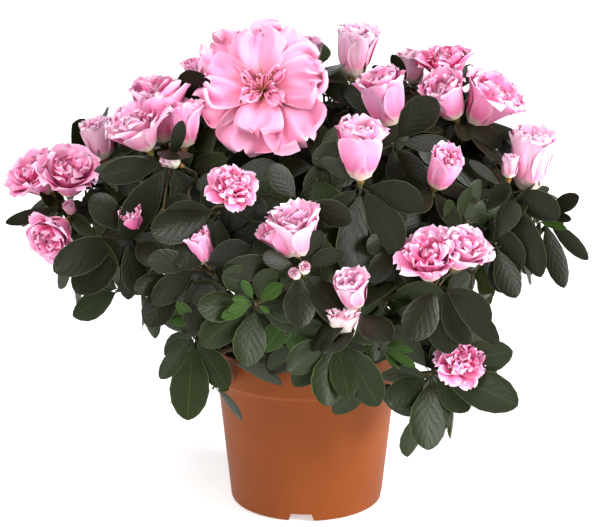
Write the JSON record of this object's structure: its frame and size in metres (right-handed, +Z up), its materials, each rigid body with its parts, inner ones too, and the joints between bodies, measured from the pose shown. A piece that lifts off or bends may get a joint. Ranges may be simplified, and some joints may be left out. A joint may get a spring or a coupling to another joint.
{
  "type": "potted azalea shrub",
  "caption": "Flowering azalea shrub on a short branching stem, with double ruffled blooms and whorls of evergreen leaves, in a round plastic pot with a collared rim.",
  "frame": {"origin": "on the ground at the centre of the pot's foot; the crown is centred over it", "axes": "+Z up along the pot's axis, +X to the right of the plant's best side, which faces -Y"},
  "size_m": [0.378, 0.36, 0.322],
  "materials": {
    "pot_plastic": "terracotta-coloured moulded plastic, satin",
    "compost": "damp peaty compost, coarse and matt",
    "bark": "fine-grained grey-brown bark, matt",
    "leaf": "dark evergreen leaves, soft sheen",
    "shoot": "green and reddish young twigs and bud scales, matt",
    "petal": "pink petals paling to their frilled edges, soft"
  },
  "bodies": {
    "root": {"pot": "pot_plastic", "compost": "compost", "stem": "bark", "bough_crown_top": "bark", "bough_upper_front": "bark", "bough_upper_left": "bark", "bough_upper_right": "bark", "bough_upper_back": "bark", "bough_outer_left": "bark", "bough_outer_right": "bark", "bough_front_left": "bark", "bough_front_right": "bark", "bough_front_middle": "bark", "bough_back_left": "bark", "bough_back_right": "bark", "bough_low_left": "bark", "bough_low_right": "bark", "bough_low_front": "bark", "foliage_crown_top": "leaf", "foliage_upper_front": "leaf", "foliage_upper_left": "leaf", "foliage_upper_right": "leaf", "foliage_upper_back": "leaf", "foliage_outer_left": "leaf", "foliage_outer_right": "leaf", "foliage_front_left": "leaf", "foliage_front_right": "leaf", "foliage_front_middle": "leaf", "foliage_back_left": "leaf", "foliage_back_right": "leaf", "foliage_low_left": "leaf", "foliage_low_right": "leaf", "foliage_low_front": "leaf"}
  },
  "joints": []
}
